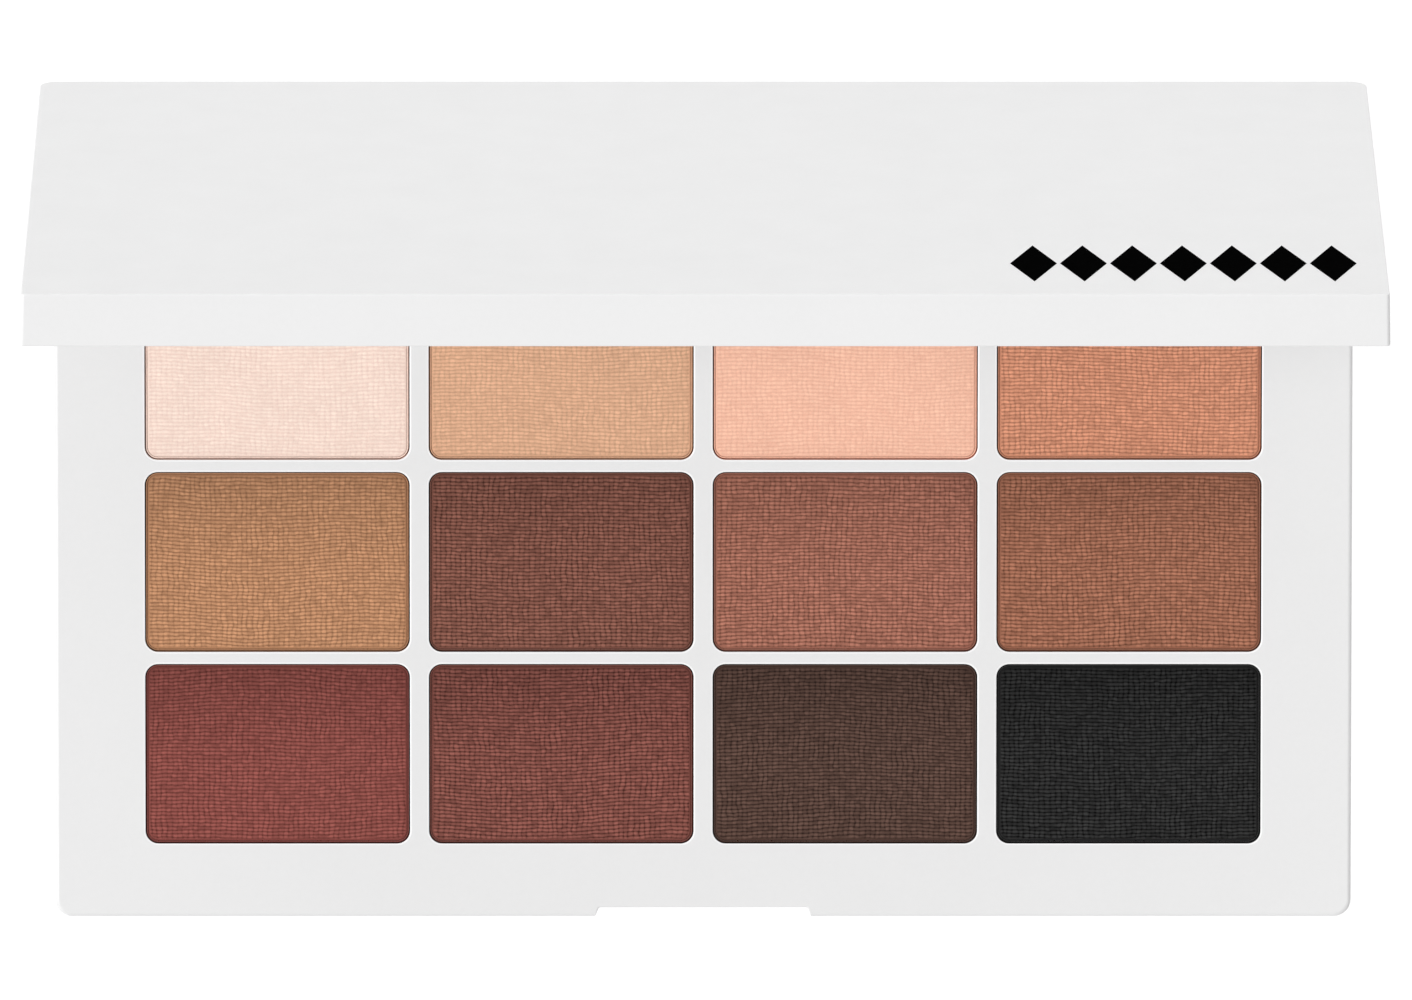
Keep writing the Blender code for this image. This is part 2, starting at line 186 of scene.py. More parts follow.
def smooth(obj, angle=35.0):
    """Smooth shading that leaves the flat faces flat."""
    bm = bmesh.new()
    bm.from_mesh(obj.data)
    bmesh.ops.dissolve_degenerate(bm, dist=1e-7, edges=bm.edges)
    bm.to_mesh(obj.data)
    bm.free()
    obj.data.shade_smooth()
    obj.data.set_sharp_from_angle(angle=math.radians(angle))
    mod = obj.modifiers.new("normals", "WEIGHTED_NORMAL")
    mod.keep_sharp = True
    mod.weight = 100
    settle(obj)
    return obj


# ------------------------------------------------------------------ materials


class Nodes:
    """A Principled material with a few shorthands for its node tree."""

    def __init__(self, name, colour, roughness, metallic=0.0, **sockets):
        self.material = bpy.data.materials.new(name)
        self.material.use_nodes = True
        self.tree = self.material.node_tree
        self.shader = self.tree.nodes["Principled BSDF"]
        self.shader.inputs["Base Color"].default_value = (*colour, 1.0)
        self.shader.inputs["Roughness"].default_value = roughness
        self.shader.inputs["Metallic"].default_value = metallic
        for socket, value in sockets.items():
            self.shader.inputs[socket.replace("_", " ")].default_value = value
        self.where = self.add("ShaderNodeTexCoord").outputs["Object"]

    def add(self, kind, **settings):
        node = self.tree.nodes.new(kind)
        for key, value in settings.items():
            setattr(node, key, value)
        return node

    def link(self, a, b):
        self.tree.links.new(a, b)

    def noise(self, size_mm, detail=3.0, stretch=(1.0, 1.0, 1.0), rough=0.55):
        """A noise whose features are about size_mm across."""
        scaled = self.add("ShaderNodeMapping")
        scaled.inputs["Scale"].default_value = tuple(s / (size_mm * MM) for s in stretch)
        self.link(self.where, scaled.inputs["Vector"])
        node = self.add("ShaderNodeTexNoise")
        node.inputs["Scale"].default_value = 1.0
        node.inputs["Detail"].default_value = detail
        node.inputs["Roughness"].default_value = rough
        self.link(scaled.outputs["Vector"], node.inputs["Vector"])
        return node.outputs["Fac"]

    def spread(self, value, low, high, a=0.3, b=0.7):
        """value, from a to b, mapped to low to high."""
        node = self.add("ShaderNodeMapRange")
        node.inputs["From Min"].default_value = a
        node.inputs["From Max"].default_value = b
        node.inputs["To Min"].default_value = low
        node.inputs["To Max"].default_value = high
        self.link(value, node.inputs["Value"])
        return node.outputs["Result"]

    def times(self, a, b):
        node = self.add("ShaderNodeMath", operation="MULTIPLY")
        self.link(a, node.inputs[0])
        self.link(b, node.inputs[1])
        return node.outputs[0]

    def shade(self, colour, factor):
        """The colour times a factor."""
        node = self.add("ShaderNodeVectorMath", operation="SCALE")
        if isinstance(colour, tuple):
            node.inputs[0].default_value = colour
        else:
            self.link(colour, node.inputs[0])
        self.link(factor, node.inputs["Scale"])
        return node.outputs[0]

    def bump(self, height, depth_mm, strength=1.0, under=None):
        node = self.add("ShaderNodeBump")
        node.inputs["Strength"].default_value = strength
        node.inputs["Distance"].default_value = depth_mm * MM
        self.link(height, node.inputs["Height"])
        if under is not None:
            self.link(under, node.inputs["Normal"])
        self.link(node.outputs["Normal"], self.shader.inputs["Normal"])
        return node.outputs["Normal"]

    def calc(self, operation, *values):
        """A Math node, whose inputs are sockets or numbers."""
        node = self.add("ShaderNodeMath", operation=operation)
        for socket, value in zip(node.inputs, values):
            if isinstance(value, (int, float)):
                socket.default_value = value
            else:
                self.link(value, socket)
        return node.outputs[0]

    def blend(self, factor, a, b):
        """Colour a to colour b by a factor that varies."""
        node = self.add("ShaderNodeMix", data_type="RGBA")
        node.inputs[6].default_value = (*a, 1.0)
        node.inputs[7].default_value = (*b, 1.0)
        self.link(factor, node.inputs[0])
        return node.outputs[2]

    def use(self, value, socket):
        self.link(value, self.shader.inputs[socket])


def moulded_white(name, colour, roughness):
    """Satin moulded plastic: fine spark-eroded grain, faint flow mottling and slight gloss changes."""
    m = Nodes(name, colour, roughness, IOR=1.46)
    flow = m.spread(m.noise(14.0, 2.0, (1.0, 0.6, 1.0)), 0.996, 1.004)
    speck = m.spread(m.noise(0.6, 2.0), 0.994, 1.004)
    m.use(m.shade(colour, m.times(flow, speck)), "Base Color")
    m.use(m.spread(m.noise(5.0, 3.0), roughness - 0.05, roughness + 0.06), "Roughness")
    grain = m.bump(m.noise(0.11, 2.0, rough=0.6), 0.0035)
    m.bump(m.noise(1.9, 2.0), 0.004, under=grain)
    return m.material


def brushed_metal(name, colour, roughness, lines=(30.0, 1.0, 1.0)):
    m = Nodes(name, colour, roughness, 1.0)
    streak = m.noise(1.2, 3.0, lines)
    m.use(m.shade(colour, m.spread(streak, 0.92, 1.05)), "Base Color")
    m.use(m.spread(streak, roughness - 0.08, roughness + 0.1), "Roughness")
    m.bump(streak, 0.003)
    return m.material


def silvered(name):
    m = Nodes(name, (0.90, 0.915, 0.91), 0.015, 1.0)
    m.use(m.spread(m.noise(9.0, 3.0), 0.010, 0.022), "Roughness")
    m.use(m.shade((0.90, 0.915, 0.91), m.spread(m.noise(30.0, 1.0), 0.99, 1.0)), "Base Color")
    return m.material


def pressed_powder(name, colour, depth):
    """Pressed powder. The cloth's threads are followed exactly: the mesh carries their two counts, and here each
    groove between two threads is darkened with painted shade, each crossing is a bead with a painted highlight of its
    own brightness, grains speckle it, and big soft patches drift. The mesh's shade attribute adds painted shade as
    well."""
    m = Nodes(name, colour, 0.85, Specular_IOR_Level=0.02 if depth > 0.9 else 0.10)
    counts = m.add("ShaderNodeAttribute", attribute_name="threads", attribute_type="GEOMETRY").outputs["Vector"]
    split = m.add("ShaderNodeSeparateXYZ")
    m.link(counts, split.inputs[0])
    u, v, full = split.outputs
    u = m.calc("ADD", u, m.spread(m.noise(1.6, 1.0), -0.22, 0.22))   # no thread runs quite straight
    v = m.calc("ADD", v, m.spread(m.noise(1.1, 1.0), -0.12, 0.12))
    col, row = m.calc("FLOOR", u), m.calc("FLOOR", v)
    ridge = m.calc("SINE", m.calc("MULTIPLY", m.calc("FRACT", v), math.pi))
    post = m.calc("SINE", m.calc("MULTIPLY", m.calc("FRACT", u), math.pi))

    def place(x, y, z):
        node = m.add("ShaderNodeCombineXYZ")
        for socket, value in zip(node.inputs, (x, y, z)):
            if isinstance(value, (int, float)):
                socket.default_value = value
            else:
                m.link(value, socket)
        return node.outputs[0]

    white = m.add("ShaderNodeTexWhiteNoise", noise_dimensions="3D")
    m.link(place(col, row, 3.7), white.inputs["Vector"])
    bead = m.calc("SUBTRACT", white.outputs["Value"], 0.5)
    along = m.add("ShaderNodeTexNoise")                       # each thread thickens and thins along its length, which makes its painted highlight stronger and weaker
    along.inputs["Scale"].default_value = 1.0
    along.inputs["Detail"].default_value = 1.0
    m.link(place(m.calc("MULTIPLY", u, 0.55), m.calc("MULTIPLY", row, 7.31), 0.0), along.inputs["Vector"])
    thick = m.spread(along.outputs["Fac"], 0.78, 1.22)
    across = m.add("ShaderNodeTexNoise")
    across.inputs["Scale"].default_value = 1.0
    across.inputs["Detail"].default_value = 1.0
    m.link(place(m.calc("MULTIPLY", col, 5.77), m.calc("MULTIPLY", v, 0.45), 9.0), across.inputs["Vector"])
    thin = m.spread(across.outputs["Fac"], 0.45, 1.55)
    thin = m.times(thin, m.spread(m.noise(3.5, 1.0), 0.5, 1.5))
    # tone: low in the grooves between threads, for painted shade, high on the ridges and beads, for painted highlight
    tone = m.calc("MULTIPLY", m.calc("POWER", ridge, 0.9), m.calc("MULTIPLY", thick, 0.72))
    tone = m.calc("ADD", tone, m.calc("MULTIPLY", m.calc("MULTIPLY", m.calc("SUBTRACT", m.calc("POWER", post, 0.45), 0.77), thin), 0.47))
    tone = m.calc("ADD", tone, m.calc("MULTIPLY", m.calc("MULTIPLY", bead, ridge), m.calc("MULTIPLY", post, 0.46)))
    tone = m.calc("ADD", m.calc("MULTIPLY", m.calc("SUBTRACT", tone, 0.47), full), 0.50)
    held = m.add("ShaderNodeClamp")
    m.link(tone, held.inputs[0])
    # painted shade: the grooves' darker colour; painted highlight: the ridges' and beads' lighter colour
    low = tuple(c ** (1.0 + 0.12 * depth) * (1.0 - 0.92 * depth) for c in colour)
    high = tuple(min(1.0, c * (1.0 + 0.80 * depth)) for c in colour)
    factor = m.spread(m.noise(0.15, 2.0, rough=0.7), 1.0 - 0.16 * depth ** 0.5, 1.0 + 0.16 * depth ** 0.5)
    factor = m.times(factor, m.spread(m.noise(5.0, 2.0), 0.975, 1.025))
    # the mesh's shade attribute is painted shade, darker towards the back edge and near the rim
    shade = m.add("ShaderNodeAttribute", attribute_name="shade", attribute_type="GEOMETRY").outputs["Fac"]
    m.use(m.shade(m.blend(held.outputs[0], low, high), m.times(factor, shade)), "Base Color")
    m.use(m.spread(held.outputs[0], 0.95, 0.76, 0.0, 1.0), "Roughness")
    m.bump(m.noise(0.10, 3.0, rough=0.7), 0.010)
    return m.material


def powder_dust(name, colour):
    """Powder rubbed over the pan's rim."""
    m = Nodes(name, colour, 0.8, Specular_IOR_Level=0.2)
    m.use(m.shade(colour, m.spread(m.noise(0.3, 3.0), 0.86, 1.10)), "Base Color")
    m.bump(m.noise(0.12, 2.0), 0.006)
    return m.material


def foam(name, colour):
    m = Nodes(name, colour, 0.9)
    cells = m.add("ShaderNodeTexVoronoi")
    cells.inputs["Scale"].default_value = 1.0 / (0.35 * MM)
    m.link(m.where, cells.inputs["Vector"])
    m.use(m.shade(colour, m.spread(cells.outputs["Distance"], 0.85, 1.05, 0.0, 0.8)), "Base Color")
    m.bump(cells.outputs["Distance"], 0.05)
    return m.material


def melted_glue(name, colour):
    m = Nodes(name, colour, 0.35, Subsurface_Weight=0.2)
    m.shader.inputs["Subsurface Radius"].default_value = (0.001, 0.0008, 0.0005)
    m.use(m.shade(colour, m.spread(m.noise(1.5, 2.0), 0.92, 1.05)), "Base Color")
    m.bump(m.noise(1.2, 2.0), 0.08)
    return m.material


def coated_paper(name, colour):
    m = Nodes(name, colour, 0.55)
    fibre = m.noise(0.35, 4.0, (1.0, 3.0, 1.0))
    m.use(m.shade(colour, m.spread(fibre, 0.975, 1.01)), "Base Color")
    m.bump(fibre, 0.006)
    return m.material


def printed_ink(name):
    m = Nodes(name, (0.002, 0.002, 0.002), 0.8, Specular_IOR_Level=0.0)
    m.use(m.shade((0.0016, 0.0016, 0.0016), m.spread(m.noise(0.5, 2.0), 0.8, 1.3)), "Base Color")
    m.bump(m.noise(0.15, 2.0), 0.002)
    return m.material


base_white = moulded_white("base_white", (0.812, 0.811, 0.812), 0.42)
lid_white = moulded_white("lid_white", (0.840, 0.839, 0.840), 0.40)
# painted highlight: a lighter white for the lips round the windows
lip_painted_highlight = moulded_white("lip_painted_highlight", (0.945, 0.945, 0.945), 0.36)
liner_white = moulded_white("liner_white", (0.82, 0.82, 0.82), 0.34)

POWDER = {  # linear colours
    "r1c1": (0.985, 0.731, 0.636), "r1c2": (0.722, 0.419, 0.265),
    "r1c3": (0.985, 0.532, 0.391), "r1c4": (0.605, 0.264, 0.161),
    "r2c1": (0.468, 0.236, 0.125), "r2c2": (0.204, 0.0811, 0.0586),
    "r2c3": (0.336, 0.135, 0.0933), "r2c4": (0.322, 0.133, 0.0809),
    "r3c1": (0.244, 0.0698, 0.0584), "r3c2": (0.206, 0.0705, 0.0557),
    "r3c3": (0.0896, 0.0499, 0.0386), "r3c4": (0.0230, 0.0230, 0.0230),
}
WEAVE_PAINTED_LIGHT = {"r1c1": 0.15, "r1c2": 0.25, "r1c3": 0.17, "r1c4": 0.45, "r2c1": 0.48, "r2c2": 0.70,
         "r3c1": 0.55, "r3c2": 0.73, "r3c3": 0.73, "r3c4": 0.97}   # how strongly painted shade darkens the cloth's grooves and painted highlight lightens its ridges and beads
DEFAULT_WEAVE_PAINTED_LIGHT = 0.62
DUST = {well: powder_dust(f"dust_{well}", tuple(min(1.0, c * 1.04 + 0.004) for c in colour))
        for well, colour in POWDER.items()}

# ------------------------------------------------------------------ base housing


LIP = (0.20, 0.05)                           # how wide and how deep the rounded lip of a window is; the lip is given a painted highlight


def window_cutter(bm, x, y, seg=10):
    """A window whose upper edge flares, so that the deck rounds into it."""
    rings = [(outline(WELL_W, WELL_D, WELL_R, x, y, seg), WELL_FLOOR)]
    for i in range(6):
        inward, up = LIP[0] * (1 - math.cos(math.pi / 2 * i / 5)), LIP[1] * math.sin(math.pi / 2 * i / 5)
        rings.append((outline(WELL_W + 2 * inward, WELL_D + 2 * inward, WELL_R + inward, x, y, seg),
                      BASE_TOP - LIP[1] + up))
    rings.append((rings[-1][0], BASE_TOP + 1.0))
    skin(bm, rings)


def notch_points(grow):
    """The thumb notch from above: slanted ends, softened where they meet the front wall and the notch's back."""
    front = -BASE_D / 2
    soft = 0.32
    x_in, x_out = NOTCH_INNER / 2, NOTCH_OUTER / 2
    side = []
    slant = Vector((x_in - x_out, NOTCH_DEPTH)).normalized()
    outer, inner = Vector((x_out, front)), Vector((x_in, front + NOTCH_DEPTH))
    for corner, before, after in ((outer, Vector((1, 0)), slant), (inner, -slant, Vector((-1, 0)))):
        a, b = corner + before * soft * 0.7, corner + after * soft * 0.7
        for i in range(6):
            t = i / 5
            p = a * (1 - t) ** 2 + corner * 2 * t * (1 - t) + b * t * t
            side.append((p.x, p.y))
    side = [(x + grow * 0.6, y + grow) for x, y in side]
    side.insert(0, (side[0][0], front - 2.0))
    return side + [(-x, y) for x, y in reversed(side)]


def build_base():
    bm = bmesh.new()
    inner = [outline(BASE_W - 2 * BASE_WALL, BASE_D - 2 * BASE_WALL, 0.9)] * 2
    rings = [(inner[0], BASE_TOP - DECK), (inner[1], BASE_FOOT)]
    for inward, up in quarter(0.25, 3):
        rings.append((outline(BASE_W - 2 * (0.25 - inward), BASE_D - 2 * (0.25 - inward), BASE_CORNER - 0.25 + inward),
                      BASE_FOOT + 0.25 - math.sqrt(max(0.0, 0.25 ** 2 - inward ** 2))))
    across, tall, n = 0.50, 0.50, 8          # the deck rolls over into the walls
    for i in range(n + 1):
        a = math.pi / 2 * i / n
        inward = BASE_DRAFT + across * (1 - math.cos(a))
        rings.append((outline(BASE_W - 2 * inward, BASE_D - 2 * inward, max(BASE_CORNER - inward * 0.8, 0.75)),
                      BASE_TOP - tall + tall * math.sin(a)))
    skin(bm, rings)
    base = solid("base_shell", bm, base_white)

    pitch_x = max(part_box("powder_r1c2")[0].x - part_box("powder_r1c1")[0].x, 0.001) / MM
    pitch_y = (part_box("powder_r1c1")[0].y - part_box("powder_r2c1")[0].y) / MM
    middle = (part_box("powder_r2c1")[0].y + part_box("powder_r2c1")[1].y) / 2 / MM
    bm = bmesh.new()
    block_x = 1.5 * pitch_x + WELL_W / 2 + WELL_SKIN
    y0, y1 = (middle + s * (pitch_y + WELL_D / 2 + WELL_SKIN) for s in (-1, 1))
    skin(bm, [(outline(2 * block_x, y1 - y0, 0.6, 0, (y0 + y1) / 2, 3), z) for z in (WELL_BLOCK_UNDER, BASE_TOP - DECK + 0.2)])
    combine(base, solid("block", bm), "UNION")
    bm = bmesh.new()
    for side in (-1, 1):
        rod(bm, (side * MAGNET_X, MAGNET_Y, 5.5), 3.4, 2.6)
        for xa, xb in ((LUG_X[1] + LUG_GAP, 74.3), (54.4, LUG_X[0] - LUG_GAP)):
            x0, x1 = sorted((side * xa, side * xb))
            bar(bm, [(42.5, 3.8), (45.0, 3.8), (45.0, 6.8), (42.5, 6.8)], x0, x1)
    combine(base, solid("bosses", bm), "UNION")
    bm = bmesh.new()
    for well in WELLS:
        lo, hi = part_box(f"powder_{well}")
        window_cutter(bm, (lo.x + hi.x) / 2 / MM, (lo.y + hi.y) / 2 / MM)
    combine(base, solid("windows", bm), "DIFFERENCE")

    bm = bmesh.new()
    for side in (-1, 1):
        rod(bm, (side * MAGNET_X, MAGNET_Y, 5.0), MAGNET_R + 0.12, 4.0)
        x0, x1 = sorted((side * (LUG_X[0] - LUG_GAP), side * (LUG_X[1] + LUG_GAP)))
        bar(bm, [(42.8, 3.0), (50.0, 3.0), (50.0, 10.0), (42.8, 10.0)], x0, x1)
    soft = 0.22
    rings = [(notch_points(0.0), -2.0)]
    rings += [(notch_points(inward), BASE_TOP - soft + up) for inward, up in quarter(soft, 4)]
    rings.append((rings[-1][0], BASE_TOP + 2.0))
    skin(bm, rings)
    combine(base, solid("slots", bm), "DIFFERENCE")
    bm = bmesh.new()
    for side in (-1, 1):
        rod(bm, (side * 66.5, AXIS_Y, AXIS_Z), PIN_BORE, 23.0, "X", 32)
    combine(base, solid("bores", bm), "DIFFERENCE")
    smooth(base)
    # a painted highlight, a lighter white, on the lip round each window, and powder that has rubbed off on the walls
    # under it
    base.data.materials.append(lip_painted_highlight)
    for number, well in enumerate(WELLS):
        base.data.materials.append(DUST[well])
        lo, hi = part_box(f"powder_{well}")
        mid = (lo + hi) / 2
        for face in base.data.polygons:
            c = face.center
            dx, dy = abs(c.x - mid.x) / MM - WELL_W / 2, abs(c.y - mid.y) / MM - WELL_D / 2
            if max(dx, dy) > LIP[0] or c.z < (WELL_FLOOR - 0.1) * MM:
                continue
            if c.z < (BASE_TOP - LIP[1]) * MM + 1e-7:
                face.material_index = 2 + number
            elif c.z < BASE_TOP * MM - 1e-8:
                face.material_index = 1
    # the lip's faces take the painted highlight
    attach(base, "base")
    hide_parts("base_housing")
    return base


# ------------------------------------------------------------------ lid, its frame and its mirror


def to_rest(obj):
    obj.data.transform(OPENED)
    return obj


def build_lid():
    bm = bmesh.new()
    w_in, d_in = LID_W - 2 * LID_WALL, LID_D - 2 * LID_WALL
    rim = 0.16
    rings = [(outline(w_in - 2 * LID_DRAFT, d_in - 2 * LID_DRAFT, 0.8), LID_TOP - LID_SKIN),
             (outline(w_in, d_in, 0.8), LID_RIM + rim)]
    for inward, up in reversed(quarter(rim, 4)[:-1]):       # inner edge of the rim
        rings.append((outline(w_in + 2 * (rim - (rim - inward)), d_in + 2 * inward, 0.8 + inward), LID_RIM + rim - up))
    rings[-4:] = sorted(rings[-4:], key=lambda r: -r[1])
    rings.append((outline(w_in + 2 * rim, d_in + 2 * rim, 0.8 + rim), LID_RIM))
    outer = []
    for inward, up in quarter(rim, 4):                       # outer edge of the rim
        outer.append((outline(LID_W - 2 * inward, LID_D - 2 * inward, LID_CORNER - inward, front=LID_FRONT - inward * 0.8),
                      LID_RIM + rim - up))
    rings += list(reversed(outer))
    for inward, up in quarter(LID_EDGE, 7):
        step = inward + LID_DRAFT
        rings.append((outline(LID_W - 2 * step, LID_D - 2 * step, LID_CORNER - inward * 0.8, front=LID_FRONT - inward * 0.8),
                      LID_TOP - LID_EDGE + up))
    skin(bm, rings)
    lid = solid("lid_cover", bm, lid_white)

    bm = bmesh.new()
    wall_in, wall_out = LID_D / 2 - LID_WALL, LID_D / 2
    slope = 1.0 / (wall_out - wall_in)
    rise = [(y, 9.1 + (y - wall_in) * slope) for y in (wall_out + 0.5, 45.8)]
    bar(bm, [(45.8, LID_RIM - 2), (52.0, LID_RIM - 2), (52.0, rise[0][1]), *rise], -75.6, 75.6)
    combine(lid, solid("relief", bm), "DIFFERENCE")
    bm = bmesh.new()
    for side in (-1, 1):
        x0, x1 = sorted((side * LUG_X[0], side * LUG_X[1]))
        arc = [(AXIS_Y + LUG_R * math.cos(a), AXIS_Z + LUG_R * math.sin(a))
               for a in (math.radians(180 + 180 * i / 24) for i in range(25))]
        bar(bm, arc + [(AXIS_Y + LUG_R, 9.1), (46.5, 9.1), (46.5, 10.7), (AXIS_Y - LUG_R, 10.7)], x0, x1)
    combine(lid, solid("lugs", bm), "UNION")
    bm = bmesh.new()
    for side in (-1, 1):
        rod(bm, (side * 65.0, AXIS_Y, AXIS_Z), PIN_BORE, 14.6, "X", 38)
    combine(lid, solid("lug_bores", bm), "DIFFERENCE")
    smooth(to_rest(lid))
    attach(lid, "lid")
    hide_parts("lid_shell")
    return lid


def boxed(limits, r, grow=0.0, seg=6):
    x0, x1, y0, y1 = limits
    return outline(x1 - x0 + 2 * grow, y1 - y0 + 2 * grow, r + grow, (x0 + x1) / 2, (y0 + y1) / 2, seg)


def build_mirror():
    z0, z1 = FRAME_Z
    bm = bmesh.new()
    rings = [(boxed(FRAME_BOX, 0.8), z1)]                     # up the inside, in the order that faces out
    for inward, up in quarter(0.3, 5):
        rings.append((boxed(FRAME_BOX, 0.8, -inward), z0 + 0.3 - up))
    for inward, up in reversed(quarter(0.35, 5)):
        rings.append((boxed(GLASS_BOX, 0.8, 0.2 + inward), z0 + 0.35 - up))
    rings.append((boxed(GLASS_BOX, 0.8, 0.2), z1))
    skin(bm, list(reversed(rings)), closed=True)
    liner = solid("mirror_surround", bm, liner_white)
    bm = bmesh.new()
    for side in (-1, 1):
        rod(bm, (side * MAGNET_X, MAGNET_Y, 9.9), MAGNET_R + 0.12, 2.0)
    combine(liner, solid("seats", bm), "DIFFERENCE")
    smooth(to_rest(liner))
    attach(liner, "lid")
    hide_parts("mirror_frame")

    z0, z1 = GLASS_Z
    bm = bmesh.new()
    skin(bm, [(boxed(GLASS_BOX, 0.8, -0.45), z0), (boxed(GLASS_BOX, 0.8, -0.04), z0 + 0.22),
              (boxed(GLASS_BOX, 0.8), z0 + 0.30), (boxed(GLASS_BOX, 0.8), z1 - 0.08),
              (boxed(GLASS_BOX, 0.8, -0.08), z1)])
    glass = solid("mirror_plate", bm, silvered("mirror_silvering"))
    smooth(to_rest(glass), 8.0)
    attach(glass, "lid")
    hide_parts("mirror_glass")


def build_print():
    """A plain ornament printed on the lid in place of any lettering: a row of lozenges."""
    ink = printed_ink("black_ink")
    z0, z1 = LID_TOP + 0.004, LID_TOP + 0.022
    bm = bmesh.new()
    wide, tall, count, first, y = 5.25, 15.6, 7, 34.2, -34.0
    for i in range(count):
        x = first + wide / 2 + i * (wide + 0.35)
        rings = []
        for g, z in ((0.0, z0), (0.0, z1 - 0.006), (0.02, z1)):
            w, h = wide / 2 - g, tall / 2 - g * 2
            rings.append(([(x + w, y), (x, y + h), (x - w, y), (x, y - h)], z))
        skin(bm, rings)
    mark = solid("lid_ornament", bm, ink)
    smooth(to_rest(mark))
    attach(mark, "lid")


# ------------------------------------------------------------------ pans and powders


def drift(rng, x, y, size, amount, n=7):
    """A smooth random field with features about size across."""
    field = np.zeros_like(x)
    for _ in range(n):
        a, f, p = rng.uniform(0, 2 * np.pi), rng.uniform(0.5, 1.4) / size, rng.uniform(0, 2 * np.pi)
        field += np.sin(2 * np.pi * f * (x * np.cos(a) + y * np.sin(a)) + p)
    return field * amount / math.sqrt(n / 2)


def lookup(rng, row, t, count, step):
    """For each row number, a smooth random line along t, whose knots are step apart."""
    knots = rng.standard_normal((400, count))
    k = np.clip(t / step + count / 2, 0, count - 2.001)
    i = np.floor(k).astype(int)
    f = k - i
    f = f * f * (3 - 2 * f)
    row = np.mod(row.astype(int), 400)
    return knots[row, i] * (1 - f) + knots[row, i + 1] * f


WEFT, WARP = 0.4335, 0.601                    # spacing of the cloth's rows and of its columns, in mm
STEPS_V, STEPS_U = 5, 4                       # mesh steps across one row and one column


def cloth(u, v, x, y, seed):
    """How high the pressed cloth left the powder, 0 in the grooves to about 1 on the ridges. u and v count threads."""
    rng = np.random.default_rng(seed)
    row, col = np.floor(v + 1e-3), np.floor(u + 1e-3)
    ridge = np.abs(np.sin(np.pi * v)) ** 0.85
    post = np.abs(np.sin(np.pi * u)) ** 0.7
    thick = 1.0 + 0.14 * lookup(rng, row, x, 80, 0.75)
    thin = 1.0 + 0.30 * lookup(rng, col, y, 80, 0.75)
    over = np.where((row + col) % 2 == 0, 1.0, -1.0)
    return 0.06 + 0.58 * ridge * thick + 0.26 * post * thin + 0.08 * over * ridge * post


